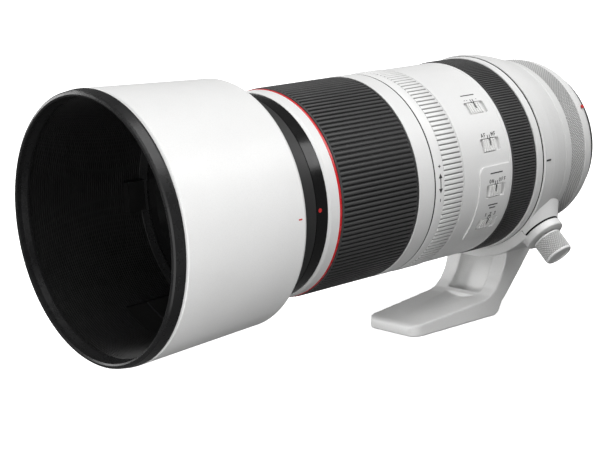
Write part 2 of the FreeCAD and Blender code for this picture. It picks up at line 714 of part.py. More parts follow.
def collar_outer(grow=0.0):
    """Solid that fills the collar out to its outside surface."""
    profile = [(0.0, COLLAR_FRONT - 8)] + [(46.45 + grow, COLLAR_FRONT - 8)]
    profile += [(r + grow, y) for y, r in COLLAR_PROFILE] + [(42.9 + grow, COLLAR_REAR + 12), (0.0, COLLAR_REAR + 12)]
    return turned(profile)


def leg_pocket():
    """Channel in the front of the foot between its two legs, leaning back with them."""
    box = Part.makeBox(20.0, 12.5, 34.0, V(-10.0, -5.0, 1.2))
    deep = [e for e in box.Edges if e.CenterOfMass.y > 7 and (abs(e.CenterOfMass.x) > 9 or e.CenterOfMass.z < 2)]
    box = box.makeFillet(3.0, deep)
    box.rotate(ORIGIN, V(1, 0, 0), -31)
    box.translate(V(0, -57.5, -66.9))
    return box


def tripod_foot():
    body = foot_side().common(foot_plan())
    ahead = turned([(0, -49.9), (60, -49.9), (60, -70), (0, -70)])
    body = body.cut(ahead.common(Part.makeBox(200, 30, 200, V(-100, -70, -48.0))))
    body = body.cut(leg_pocket())
    groove = Part.makeCylinder(26.0, 43.0, V(0, -103.0, -44.8), AXIS)
    groove.rotate(V(0, -103.0, -44.8), V(1, 0, 0), 2.3)
    body = body.cut(groove)
    saddle = turned([(40.0, COLLAR_FRONT), (SADDLE_R, COLLAR_FRONT), (SADDLE_R, COLLAR_REAR), (40.0, COLLAR_REAR)],
                    SADDLE_ANGLES[1] - SADDLE_ANGLES[0], SADDLE_ANGLES[0])
    lug = peg(KNOB_ANGLE, KNOB_Y, BOSS_R, BOSS_SEAM, BOSS_TOP)
    neck = block(KNOB_ANGLE, KNOB_Y - 7.5, KNOB_Y + 7.5, 1.9, 47.0, BOSS_TOP, 5.0)
    body = joined([body, saddle, lug, neck])
    body = body.cut(collar_outer())
    body = body.cut(peg(KNOB_ANGLE, KNOB_Y, SCREW_R + GAP, 40.0, 60.0))
    for y, _, bush in SOCKETS:
        body = body.cut(Part.makeCylinder(bush, SOCKET_DEPTH + 0.4, V(0, y, FOOT_Z), V(0, 0, 1)))
    return body


def foot_bushes():
    bushes = []
    for y, thread, bush in SOCKETS:
        outer = Part.makeCylinder(bush, SOCKET_DEPTH + 0.4, V(0, y, FOOT_Z), V(0, 0, 1))
        bushes.append(outer.cut(Part.makeCylinder(thread, SOCKET_DEPTH, V(0, y, FOOT_Z), V(0, 0, 1))))
    return Part.makeCompound(bushes)


def clamp_knob():
    lengthwise = toothed(44, KNOB_R - 0.35, KNOB_R, 0.9, 9.8, 0.4)
    ends = [Part.makeCone(KNOB_R - 0.8, KNOB_R - 0.1, 0.9, V(0, 0, 0), AXIS),
            Part.makeCone(KNOB_R - 0.1, KNOB_R - 0.6, 0.9, V(0, 9.8, 0), AXIS)]
    screw = Part.makeCylinder(SCREW_R, 9.4, V(0, -9.4, 0), AXIS)
    body = joined([lengthwise] + ends + [screw])
    dish = Part.makeCone(4.6, 5.0, 0.3, V(0, 10.4, 0), AXIS)
    body = body.cut(dish)
    body.rotate(ORIGIN, V(1, 0, 0), 90)
    body.rotate(ORIGIN, AXIS, KNOB_ANGLE)
    body.translate(radial(KNOB_ANGLE) * (KNOB_END - 10.7) + AXIS * KNOB_Y)
    return body


NODES = {
    "hood_shell": hood_shell, "hood_liner": hood_liner, "hood_bayonet": hood_bayonet, "hood_rim": hood_rim,
    "hood_button": hood_button, "hood_window": hood_window,
    "front_ring": front_ring, "front_retainer": front_retainer, "front_elements": front_elements,
    "front_cell": front_cell, "front_tube": front_tube, "name_band": name_band, "red_ring": red_ring,
    "zoom_core": zoom_core, "zoom_grip": zoom_grip, "zoom_band": zoom_band, "cam_barrel": cam_barrel,
    "variator_cell": variator_cell, "variator_elements": variator_elements,
    "tension_ring": tension_ring, "tension_brake": tension_brake,
    "guide_tube": guide_tube, "switch_barrel": switch_barrel, "switch_panel": switch_panel,
    "rear_barrel": rear_barrel, "collar_retainer": collar_retainer, "rear_cover": rear_cover,
    "mount_bayonet": mount_bayonet, "mount_screws": mount_screws, "mount_seal": mount_seal,
    "contact_block": contact_block, "contact_pins": contact_pins, "rear_baffle": rear_baffle,
    "main_board": main_board, "inner_tube": inner_tube, "steady_housing": steady_housing,
    "steady_frame": steady_frame, "steady_cell": steady_cell, "steady_element": steady_element,
    "iris_unit": iris_unit, "focus_cell": focus_cell, "focus_element": focus_element,
    "focus_rods": focus_rods, "focus_motor": focus_motor, "rear_cell": rear_cell, "rear_element": rear_element,
    "focus_core": focus_core, "focus_grip": focus_grip, "control_ring": control_ring,
    "collar_ring": collar_ring, "tripod_foot": tripod_foot, "foot_bushes": foot_bushes, "clamp_knob": clamp_knob,
}
for _name, _y, _angle, _raised in SWITCHES:
    NODES[_name] = lambda y=_y, angle=_angle, raised=_raised: switch_slider(y, angle, raised)


def main():
    os.makedirs("parts", exist_ok=True)
    for name, build in NODES.items():
        shape = build()
        solids = shape.Solids
        if not solids or not all(s.isValid() for s in solids):
            print("CHECK", name, "solids", len(solids), "valid", [s.isValid() for s in solids])
        shape.exportStep("parts/%s.step" % name)
        box = shape.BoundBox
        print("%-18s solids %d volume %.0f y %.1f..%.1f z %.1f..%.1f" % (
            name, len(solids), shape.Volume, box.YMin, box.YMax, box.ZMin, box.ZMax))


main()
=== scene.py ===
"""Looks of the white telephoto zoom lens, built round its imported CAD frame.

Lengths in this file are millimetres until they reach Blender, in metres. +Y points out of the
rear of the lens. Angles are degrees round the optical axis, from +Z towards +X.
"""
import json
from math import cos, pi, radians, sin

import bmesh
import bpy
import numpy as np
from mathutils import Matrix, Vector


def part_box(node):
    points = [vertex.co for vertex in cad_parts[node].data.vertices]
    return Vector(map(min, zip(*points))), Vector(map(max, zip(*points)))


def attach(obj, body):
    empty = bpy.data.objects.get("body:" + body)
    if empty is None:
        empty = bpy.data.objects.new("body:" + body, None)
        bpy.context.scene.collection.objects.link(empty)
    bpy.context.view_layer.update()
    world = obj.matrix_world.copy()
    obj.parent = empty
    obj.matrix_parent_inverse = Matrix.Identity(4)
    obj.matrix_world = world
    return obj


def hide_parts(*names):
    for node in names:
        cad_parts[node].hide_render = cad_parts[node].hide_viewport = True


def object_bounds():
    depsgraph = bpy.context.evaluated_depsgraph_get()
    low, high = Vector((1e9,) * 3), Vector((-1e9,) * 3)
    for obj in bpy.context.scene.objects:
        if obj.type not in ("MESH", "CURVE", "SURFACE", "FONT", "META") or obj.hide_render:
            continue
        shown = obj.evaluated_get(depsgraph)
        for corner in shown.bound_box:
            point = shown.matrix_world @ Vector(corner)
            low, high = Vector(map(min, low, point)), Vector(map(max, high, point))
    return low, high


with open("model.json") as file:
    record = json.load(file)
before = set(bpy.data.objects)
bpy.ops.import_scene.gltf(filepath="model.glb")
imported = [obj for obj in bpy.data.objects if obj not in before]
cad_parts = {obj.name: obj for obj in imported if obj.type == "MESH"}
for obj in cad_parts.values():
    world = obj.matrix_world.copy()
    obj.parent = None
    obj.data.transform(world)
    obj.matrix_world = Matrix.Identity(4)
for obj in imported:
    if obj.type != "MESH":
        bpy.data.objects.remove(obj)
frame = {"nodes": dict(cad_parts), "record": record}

MM = 0.001
CAD_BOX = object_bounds()


# ---- measures read from the frame ----------------------------------------------------------
def span(node):
    """First and last y of a node, and its largest radius, in millimetres."""
    low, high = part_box(node)
    return low.y / MM, high.y / MM, max(high.x, -low.x, high.z, -low.z) / MM


def points_of(node):
    """A node's vertices, in millimetres."""
    data = frame["nodes"][node].data
    flat = np.zeros(len(data.vertices) * 3, np.float32)
    data.vertices.foreach_get("co", flat)
    return flat.reshape(-1, 3).astype(float) / MM


# ---- materials -----------------------------------------------------------------------------
class Shader:
    """Small helper for writing one node material."""

    def __init__(self, name):
        self.material = bpy.data.materials.new(name)
        self.material.use_nodes = True
        self.tree = self.material.node_tree
        self.bsdf = self.tree.nodes["Principled BSDF"]
        self.coords = self.tree.nodes.new("ShaderNodeTexCoord").outputs["Object"]
        self.height = None

    def node(self, kind, **inputs):
        made = self.tree.nodes.new(kind)
        for key, value in inputs.items():
            self.put(made.inputs[key.replace("_", " ")], value)
        return made

    def put(self, socket, value):
        if isinstance(value, bpy.types.NodeSocket):
            self.tree.links.new(value, socket)
        else:
            socket.default_value = value

    def noise(self, scale, detail=3.0, rough=0.55, vector=None):
        made = self.node("ShaderNodeTexNoise", Scale=scale, Detail=detail, Roughness=rough)
        self.put(made.inputs["Vector"], vector or self.coords)
        return made.outputs["Fac"]

    def ramp(self, value, low, high, out_low, out_high):
        made = self.tree.nodes.new("ShaderNodeMapRange")
        for i, v in enumerate((value, low, high, out_low, out_high)):
            self.put(made.inputs[i], v)
        return made.outputs["Result"]

    def mixed(self, share, first, second):
        made = self.tree.nodes.new("ShaderNodeMix")
        made.data_type = "RGBA"
        self.put(made.inputs["Factor"], share)
        for socket, colour in ((6, first), (7, second)):       # 6 and 7 are the colour sockets
            linked = isinstance(colour, bpy.types.NodeSocket)
            self.put(made.inputs[socket], colour if linked else tuple(colour) + (1.0,))
        return made.outputs[2]

    def bump(self, height, strength, distance):
        made = self.node("ShaderNodeBump", Strength=strength, Distance=distance, Height=height)
        if self.height is not None:
            self.put(made.inputs["Normal"], self.height)
        self.height = made.outputs["Normal"]
        self.put(self.bsdf.inputs["Normal"], self.height)

    def maths(self, what, first, second):
        made = self.tree.nodes.new("ShaderNodeMath")
        made.operation = what
        self.put(made.inputs[0], first)
        self.put(made.inputs[1], second)
        return made.outputs["Value"]

    def polar(self):
        """The place along the barrel and the distance from the optical axis, in metres."""
        split = self.node("ShaderNodeSeparateXYZ", Vector=self.coords)
        flat = self.node("ShaderNodeCombineXYZ", X=split.outputs["X"], Z=split.outputs["Z"])
        length = self.tree.nodes.new("ShaderNodeVectorMath")
        length.operation = "LENGTH"
        self.put(length.inputs[0], flat.outputs["Vector"])
        return split.outputs["Y"], length.outputs["Value"]

    def turned(self, scale):
        """Coordinates of radius and y, so that noise looks like marks left by a lathe."""
        y, radius = self.polar()
        x = self.maths("MULTIPLY", radius, scale)
        return self.node("ShaderNodeCombineXYZ", X=x, Y=self.maths("MULTIPLY", y, scale)).outputs["Vector"]


def finish(name, colour, second, rough, grain, metal=0.0, coat=0.0, sheen=0.0, ior=1.5, ring=0.0,
           spec=0.5, valley_shade=None):
    """Painted, moulded or machined surface: patchy colour, uneven roughness and two sizes of grain.

    grain is (size in mm of the fine grain, its bump, size of the broad ripple, its bump). The last
    argument is the share of colour left where a piece's valley attribute is 1: painted shade in knurl and rib
    valleys."""
    s = Shader(name)
    patch = s.noise(28.0, 4.0, 0.6)
    fine = s.noise(1.0 / (grain[0] * MM), 2.0, 0.5)
    tone = s.mixed(s.ramp(patch, 0.35, 0.68, 0.0, 1.0), colour, second)
    speck = s.mixed(s.ramp(fine, 0.42, 0.75, 0.0, 0.35), tone, [c * 0.86 for c in second])
    # Painted shade: the colour darkens to the given share where the per-point valley attribute is 1, in knurl
    # and rib valleys.
    if valley_shade is not None:
        mark = s.tree.nodes.new("ShaderNodeAttribute")
        mark.attribute_name = "valley_shade"
        speck = s.mixed(mark.outputs["Fac"], speck, [c * valley_shade for c in colour])
    s.put(s.bsdf.inputs["Base Color"], speck)
    mottle = s.noise(210.0, 3.0, 0.6)
    s.put(s.bsdf.inputs["Roughness"], s.ramp(mottle, 0.3, 0.7, rough[0], rough[1]))
    s.bump(fine, grain[1], 0.0001)
    broad = s.noise(1.0 / (grain[2] * MM), 2.0, 0.4)
    s.bump(broad, grain[3], 0.0002)
    if ring:
        s.bump(s.noise(1.0, 2.0, 0.6, s.turned(9000.0)), ring, 0.00006)
    s.bsdf.inputs["Metallic"].default_value = metal
    s.bsdf.inputs["Coat Weight"].default_value = coat
    s.bsdf.inputs["Coat Roughness"].default_value = 0.22
    s.bsdf.inputs["Sheen Weight"].default_value = sheen
    s.bsdf.inputs["Sheen Roughness"].default_value = 0.45
    s.bsdf.inputs["IOR"].default_value = ior
    s.bsdf.inputs["Specular IOR Level"].default_value = spec
    return s.material


def two_tone(material, inner, wall):
    """White outside, black inside: the colour changes below the outer cone's radius less wall."""
    s = Shader.__new__(Shader)
    s.material, s.tree = material, material.node_tree
    s.bsdf = s.tree.nodes["Principled BSDF"]
    s.coords = s.tree.nodes.new("ShaderNodeTexCoord").outputs["Object"]
    y, radius = s.polar()
    outer = s.ramp(y, HOOD_CONE[0][0] * MM, HOOD_CONE[1][0] * MM,
                   (HOOD_CONE[0][1] - wall) * MM, (HOOD_CONE[1][1] - wall) * MM)
    s.tree.nodes[outer.node.name].clamp = False
    inside = s.maths("GREATER_THAN", outer, radius)
    base = s.bsdf.inputs["Base Color"]
    s.put(base, s.mixed(inside, base.links[0].from_socket, inner))
    return material


def glass(name):
    """Coated optical glass with faint dust and wiping marks in its polish."""
    s = Shader(name)
    wipe = s.noise(60.0, 4.0, 0.6)
    tone = s.mixed(s.ramp(wipe, 0.3, 0.7, 0.0, 1.0), (0.93, 0.97, 0.95), (0.88, 0.95, 0.97))
    s.put(s.bsdf.inputs["Base Color"], tone)
    s.put(s.bsdf.inputs["Roughness"], s.ramp(s.noise(900.0, 2.0), 0.3, 0.75, 0.01, 0.05))
    s.bsdf.inputs["Transmission Weight"].default_value = 1.0
    s.bsdf.inputs["IOR"].default_value = 1.52
    s.bsdf.inputs["Coat Weight"].default_value = 0.4
    s.bsdf.inputs["Coat Roughness"].default_value = 0.02
    s.bsdf.inputs["Coat Tint"].default_value = (0.93, 0.985, 0.95, 1.0)
    return s.material


# The last keyword of white_barrel, white_knob and black_rubber is painted shade: how dark their knurl and rib
# valleys go.
FINISHES = {
    "white_shell": finish("white_shell", (0.80, 0.80, 0.795), (0.77, 0.77, 0.765), (0.34, 0.46),
                          (0.35, 0.10, 2.4, 0.05), coat=0.12),
    "white_barrel": finish("white_barrel", (0.77, 0.77, 0.765), (0.74, 0.74, 0.735), (0.36, 0.50),
                           (0.30, 0.12, 2.0, 0.05), coat=0.10, valley_shade=0.30),
    "white_cast": finish("white_cast", (0.72, 0.72, 0.715), (0.69, 0.69, 0.685), (0.40, 0.55),
                         (0.45, 0.22, 3.0, 0.12), coat=0.08),
    "white_knob": finish("white_knob", (0.84, 0.84, 0.835), (0.80, 0.80, 0.795), (0.34, 0.48),
                         (0.30, 0.15, 2.0, 0.05), coat=0.1, valley_shade=0.34),
    "switch_white": finish("switch_white", (0.80, 0.80, 0.79), (0.76, 0.76, 0.75), (0.32, 0.45),
                           (0.25, 0.08, 1.5, 0.03)),
    "black_satin": finish("black_satin", (0.010, 0.010, 0.0105), (0.015, 0.015, 0.015), (0.22, 0.34),
                          (0.30, 0.05, 2.0, 0.03), coat=0.06, spec=0.34),
    "black_matte": finish("black_matte", (0.005, 0.005, 0.005), (0.009, 0.009, 0.009), (0.50, 0.66),
                          (0.22, 0.30, 1.5, 0.05), spec=0.22),
    "black_rubber": finish("black_rubber", (0.040, 0.040, 0.0405), (0.050, 0.050, 0.050), (0.46, 0.62),
                           (0.20, 0.35, 1.2, 0.08), sheen=0.08, spec=0.4, valley_shade=0.12),
    "seal_rubber": finish("seal_rubber", (0.03, 0.03, 0.031), (0.042, 0.042, 0.042), (0.5, 0.65),
                          (0.20, 0.30, 1.2, 0.08), sheen=0.1),
    "red_gloss": finish("red_gloss", (0.62, 0.018, 0.022), (0.55, 0.014, 0.02), (0.22, 0.32),
                        (0.25, 0.06, 1.5, 0.03), coat=0.3),
    "optical_glass": glass("optical_glass"),
    "black_alloy": finish("black_alloy", (0.020, 0.020, 0.021), (0.028, 0.028, 0.028), (0.34, 0.46),
                          (0.25, 0.20, 1.5, 0.04), ring=0.3),
    "bare_alloy": finish("bare_alloy", (0.60, 0.60, 0.61), (0.52, 0.52, 0.53), (0.25, 0.38),
                         (0.20, 0.12, 1.5, 0.03), metal=1.0, ring=0.5),
    "mount_steel": finish("mount_steel", (0.62, 0.61, 0.60), (0.54, 0.53, 0.52), (0.16, 0.28),
                          (0.20, 0.08, 1.5, 0.02), metal=1.0, ring=0.6),
    "screw_steel": finish("screw_steel", (0.42, 0.42, 0.43), (0.34, 0.34, 0.35), (0.22, 0.34),
                          (0.15, 0.12, 1.0, 0.03), metal=1.0),
    "contact_gold": finish("contact_gold", (0.86, 0.62, 0.26), (0.78, 0.54, 0.21), (0.16, 0.28),
                           (0.12, 0.08, 1.0, 0.02), metal=1.0),
    "bush_brass": finish("bush_brass", (0.56, 0.56, 0.55), (0.46, 0.46, 0.45), (0.24, 0.36),
                         (0.18, 0.12, 1.2, 0.03), metal=1.0, ring=0.2),
    "board_green": finish("board_green", (0.02, 0.12, 0.05), (0.015, 0.09, 0.04), (0.3, 0.45),
                          (0.3, 0.1, 2.0, 0.03)),
    "felt_black": finish("felt_black", (0.012, 0.012, 0.012), (0.02, 0.02, 0.02), (0.8, 0.95),
                         (0.12, 0.8, 0.8, 0.2), sheen=0.3),
    "motor_steel": finish("motor_steel", (0.5, 0.5, 0.5), (0.42, 0.42, 0.43), (0.28, 0.4),
                          (0.2, 0.1, 1.2, 0.03), metal=1.0),
}


def mark_finish(name, colour, second, rough, grain=(0.15, 0.1, 1.0, 0.02), **more):
    """Finish of a printed mark, or of a small piece that differs from its slot's own finish."""
    return finish(name, colour, second, rough, grain, **more)


MARK_BLACK = mark_finish("mark_black", (0.030, 0.030, 0.031), (0.045, 0.045, 0.045), (0.4, 0.55))
MARK_RED = mark_finish("mark_red", (0.60, 0.03, 0.03), (0.52, 0.025, 0.025), (0.3, 0.4))
# Near-black finish for the pieces that stand in for the shadow inside narrow gaps: painted shade.
GAP_SHADE = mark_finish("painted_gap_shade", (0.006, 0.006, 0.006), (0.010, 0.010, 0.010), (0.5, 0.65),
                         (0.2, 0.1, 1.0, 0.02), spec=0.2)
FRONT_SATIN = mark_finish("front_satin", (0.022, 0.022, 0.0225), (0.028, 0.028, 0.028), (0.40, 0.50),
                          (0.25, 0.15, 1.5, 0.03), spec=0.4)
FRONT_GLOSS = mark_finish("front_gloss", (0.004, 0.004, 0.0042), (0.006, 0.006, 0.006), (0.16, 0.24),
                          (0.25, 0.04, 2.0, 0.02), spec=0.42)
LINER_BLACK = mark_finish("liner_black", (0.006, 0.006, 0.006), (0.009, 0.009, 0.009), (0.36, 0.46),
                          (0.25, 0.05, 2.0, 0.02), spec=0.5)

HOOD_CONE = ((-262.1, 55.0), (-200.2, 52.0))      # (y, outer radius) at both ends of the hood
HOOD_WHITE = two_tone(
    finish("hood_white", (0.80, 0.80, 0.795), (0.77, 0.77, 0.765), (0.34, 0.46),
           (0.35, 0.10, 2.4, 0.05), coat=0.12),
    (0.012, 0.012, 0.012), 0.9)

SLOT_OF = {p["node"]: p["material_slot"] for p in frame["record"]["subparts"]}
for node_name, node_object in frame["nodes"].items():
    node_object.data.materials.clear()
    node_object.data.materials.append(FINISHES[SLOT_OF[node_name]])
for node_name in ("hood_shell", "hood_window"):
    frame["nodes"][node_name].data.materials[0] = HOOD_WHITE
frame["nodes"]["front_ring"].data.materials[0] = FRONT_GLOSS
frame["nodes"]["hood_liner"].data.materials[0] = LINER_BLACK


# ---- mesh tools ----------------------------------------------------------------------------
def make_object(name, data, body, slot, material=None, replaces=()):
    """Links a finished mesh as a piece that rides on a body and takes a slot's finish."""
    piece = bpy.data.objects.new(name, data)
    bpy.context.scene.collection.objects.link(piece)
    data.materials.clear()
    data.materials.append(material or FINISHES[slot])
    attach(piece, body)
    if replaces:
        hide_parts(*replaces)
    return piece


def mesh_from(name, verts, faces, smooth=True, sharp=35.0, valley_shade=None):
    data = bpy.data.meshes.new(name)
    data.from_pydata((np.asarray(verts, float) * MM).tolist(), [], faces)
    data.validate()
    # Per-point share of painted shade, darkest in knurl and rib valleys.
    if valley_shade is not None:
        data.attributes.new("valley_shade", "FLOAT", "POINT").data.foreach_set("value", valley_shade)
    edit = bmesh.new()
    edit.from_mesh(data)
    bmesh.ops.recalc_face_normals(edit, faces=edit.faces)
    edit.to_mesh(data)
    edit.free()
    data.polygons.foreach_set("use_smooth", [smooth] * len(data.polygons))
    if smooth and sharp:
        data.set_sharp_from_angle(angle=radians(sharp))
    return data


def place(radius, y, angle):
    """Point on the barrel, from radius, y and angle in degrees."""
    a = radians(angle)
    return (radius * sin(a), y, radius * cos(a))


def wrapped(count, rows, row_point):
    """Vertices and quads of a closed tube: rows points along a closed profile, count steps round."""
    verts = [row_point(j, i) for i in range(count) for j in range(rows)]
    faces = []
    for i in range(count):
        k = (i + 1) % count
        for j in range(rows):
            m = (j + 1) % rows
            faces.append((i * rows + j, k * rows + j, k * rows + m, i * rows + m))
    return verts, faces


def ribbed_ring(name, profile, shares, ribs, shape, body, slot, replaces, start=0.0, sharp=35.0):
    """Ring whose outer wall carries ribs along y.

    profile is a closed list of (radius, y); shares says how much of each rib's relief its point
    takes; shape is the rib's outline as (share of the pitch, relief in mm)."""
    steps = len(shape)
    pitch = 360.0 / ribs

    def row_point(j, i):
        share, relief = shape[i % steps]
        radius, y = profile[j]
        return place(radius + relief * shares[j], y, start + (i // steps + share) * pitch)

    verts, faces = wrapped(ribs * steps, len(profile), row_point)
    top = max(relief for _, relief in shape)
    # Share of the rib relief missing at each point: the finish darkens rib valleys with it, as painted shade.
    valley_shade = [shares[j] * (1.0 - max(0.0, shape[i % steps][1]) / top)
              for i in range(ribs * steps) for j in range(len(profile))]
    data = mesh_from(name, verts, faces, sharp=sharp, valley_shade=valley_shade)
    return make_object(name, data, body, slot, replaces=replaces)


def knurl(count, rows, y0, y1, radius, depth, inner, ends):
    """Vertices and faces of a ring with a diamond knurl between y0 and y1.

    Every second grid point stands proud, so each point becomes the top of a four-sided pyramid.
    ends is (lead profile before y0, lead profile after y1), each a list of (radius, y)."""
    lead, tail = ends
    ys = [y0 + (y1 - y0) * j / rows for j in range(rows + 1)]
    column = [(r, y, 0) for r, y in lead] + [(radius, y, 1) for y in ys] + [(r, y, 0) for r, y in tail]
    column += [(inner, column[-1][1], 0), (inner, column[0][1], 0)]
    first = len(lead)
    n = len(column)
    verts, valley_shade = [], []
    for i in range(count * 2):
        for j, (r, y, cut) in enumerate(column):
            low = bool(cut and (i + j) % 2)
            verts.append(place(r - depth * low, y, i * 180.0 / count))
            # Valley points get 1, so the finish darkens them: painted shade.
            valley_shade.append(float(low))
    faces = []
    for i in range(count * 2):
        k = (i + 1) % (count * 2)
        for j in range(n):
            m = (j + 1) % n
            quad = (i * n + j, k * n + j, k * n + m, i * n + m)
            if first <= j < first + rows:
                if (i + j) % 2:
                    faces += [(quad[0], quad[1], quad[2]), (quad[0], quad[2], quad[3])]
                else:
                    faces += [(quad[0], quad[1], quad[3]), (quad[1], quad[2], quad[3])]
            else:
                faces.append(quad)
    return verts, faces, valley_shade


def softened(node, name, voxel, passes, body, slot):
    """Copy of a CAD node with every edge and inside corner rounded, as a casting has them."""
    data = frame["nodes"][node].data.copy()
    edit = bmesh.new()
    edit.from_mesh(data)
    bmesh.ops.remove_doubles(edit, verts=edit.verts, dist=1e-6)
    edit.to_mesh(data)
    edit.free()
    draft = bpy.data.objects.new(name + "_draft", data)
    bpy.context.scene.collection.objects.link(draft)
    grid = draft.modifiers.new("grid", "REMESH")
    grid.mode = "VOXEL"
    grid.voxel_size = voxel * MM
    grid.use_smooth_shade = True
    relax = draft.modifiers.new("relax", "SMOOTH")
    relax.factor = 0.5
    relax.iterations = passes
    bpy.context.view_layer.update()
    graph = bpy.context.evaluated_depsgraph_get()
    result = bpy.data.meshes.new_from_object(draft.evaluated_get(graph))
    bpy.data.objects.remove(draft)
    result.name = name
    return make_object(name, result, body, slot, replaces=(node,))


# ---- rubber and ribbed rings ---------------------------------------------------------------
def grip_profile(y0, y1, outer, inner, lip, drop, relief):
    """Closed section of a rubber sleeve: plain lips, a chamfer, then the ribbed middle."""
    rows = [(inner, y0, 0), (outer - drop - 0.12, y0, 0), (outer - drop, y0 + 0.15, 0),
            (outer - drop, y0 + lip - 0.25, 0), (outer - relief, y0 + lip - 0.15, 0.0),
            (outer - relief, y0 + lip, 0.55), (outer - relief, y0 + lip + 0.5, 1.0)]
    mirror = [(r, y1 - (y - y0), s) for r, y, s in reversed(rows)]
    rows = rows + mirror
    return [(r, y) for r, y, s in rows], [s for r, y, s in rows]


ROUND_RIB = ((0.00, 0.0), (0.06, 0.55), (0.13, 0.85), (0.22, 0.97), (0.36, 1.0), (0.50, 0.97),
             (0.59, 0.85), (0.66, 0.55), (0.72, 0.0), (0.86, -0.06))


def scaled(shape, relief):
    return tuple((share, height * relief) for share, height in shape)


def zoom_grip():
    y0, y1, outer = span("zoom_grip")
    inner = 44.3
    profile, shares = grip_profile(y0, y1, outer, inner, 1.1, 0.22, 0.75)
    ribbed_ring("zoom_grip_rubber", profile, shares, 133, scaled(ROUND_RIB, 0.75), "zoom_ring",
                "black_rubber", ("zoom_grip",))


def focus_grip():
    y0, y1, outer = span("focus_grip")
    profile, shares = grip_profile(y0, y1, outer, 44.95, 0.6, 0.2, 0.5)
    ribbed_ring("focus_grip_rubber", profile, shares, 213, scaled(ROUND_RIB, 0.5), "focus_ring",
                "black_rubber", ("focus_grip",))


def tension_ring():
    y0, y1, outer = span("tension_ring")
    low = outer - 0.45
    inner = 43.3
    ribs0, ribs1 = -115.5, -103.5
    rows = [(inner, y0, 0), (outer - 0.45, y0, 0), (outer - 0.25, y0 + 0.3, 0), (outer - 0.2, ribs0 - 0.5, 0),
            (low, ribs0 - 0.35, 0), (low, ribs0, 0.0), (low, ribs0 + 0.12, 0.7), (low, ribs0 + 0.4, 1.0),
            (low, ribs1 - 0.4, 1.0), (low, ribs1 - 0.12, 0.7), (low, ribs1, 0.0), (low, ribs1 + 0.1, 0.0),
            (outer - 0.25, y1 - 0.25, 0), (outer - 0.4, y1, 0), (inner, y1, 0)]
    shape = ((0.0, 0.0), (0.05, 0.7), (0.11, 0.95), (0.2, 1.0), (0.45, 1.0), (0.62, 1.0), (0.71, 0.95),
             (0.77, 0.7), (0.82, 0.0), (0.91, -0.05))
    ribbed_ring("tension_ring_ribs", [(r, y) for r, y, s in rows], [s for r, y, s in rows], 129,
                scaled(shape, 0.45), "tension_ring", "white_barrel", ("tension_ring",))


def control_ring():
    y0, y1, outer = span("control_ring")
    lead = [(outer - 0.55, y0), (outer - 0.25, y0 + 0.15), (outer - 0.25, y0 + 0.35),
            (outer - 0.4, y0 + 0.45)]
    tail = [(outer - 0.4, y1 - 0.4), (outer - 0.25, y1 - 0.3), (outer - 0.3, y1 - 0.1),
            (outer - 0.6, y1)]
    verts, faces, valley_shade = knurl(176, 15, y0 + 0.55, y1 - 0.5, outer, 0.5, 39.15, (lead, tail))
    data = mesh_from("control_ring_knurl", verts, faces, sharp=20.0, valley_shade=valley_shade)
    make_object("control_ring_knurl", data, "control_ring", "white_barrel", replaces=("control_ring",))


KNOB_ANGLE = 135.0
KNOB_Y = -40.0
LUG_R = 9.8              # radius of the lug under the knob
LUG_SEAM = 50.2          # distance of the lug's inner face from the optical axis


def clamp_knob():
    """Knob with a diamond knurl, a soft shoulder and a shallow dished end."""
    points = points_of("clamp_knob")
    out = points @ np.array(place(1.0, 0.0, KNOB_ANGLE))
    end = out.max()
    length = 10.7
    ends = ([(6.0, -length), (6.6, -length + 0.25), (6.75, -length + 0.9)],
            [(6.75, -0.95), (6.6, -0.45), (6.3, -0.12), (5.9, 0.0)])
    verts, faces, valley_shade = knurl(32, 14, -length + 1.0, -1.05, 7.0, 0.5, 4.6, ends)
    ring = mesh_from("knob_draft", verts, faces, sharp=20.0, valley_shade=valley_shade)
    edit = bmesh.new()
    edit.from_mesh(ring)
    disc = [(4.7, -0.02), (4.5, -0.28), (2.4, -0.34), (0.01, -0.35), (0.01, -0.8), (4.7, -0.8)]
    stem = [(2.9, -length - 9.4), (2.9, -length + 0.4), (0.01, -length + 0.4), (0.01, -length - 9.4)]
    back = [(5.2, -length - 0.02), (5.2, -length + 0.5), (2.8, -length + 0.5), (2.8, -length - 0.02)]
    for rows, steps in ((disc, 72), (stem, 36), (back, 48)):
        more = wrapped(steps, len(rows), lambda j, i: place(rows[j][0], rows[j][1], i * 360.0 / steps))
        edit.from_mesh(mesh_from("knob_extra", *more, sharp=30.0))
    outward = Vector(place(1.0, 0.0, KNOB_ANGLE))
    turn = Vector((0, 1, 0)).rotation_difference(outward).to_matrix().to_4x4()
    shift = Matrix.Translation((outward * end + Vector((0, KNOB_Y, 0))) * MM)
    edit.transform(shift @ turn)
    data = bpy.data.meshes.new("clamp_knob_knurl")
    edit.to_mesh(data)
    edit.free()
    data.polygons.foreach_set("use_smooth", [True] * len(data.polygons))
    data.set_sharp_from_angle(angle=radians(20.0))
    make_object("clamp_knob_knurl", data, "clamp_knob", "white_knob", replaces=("clamp_knob",))


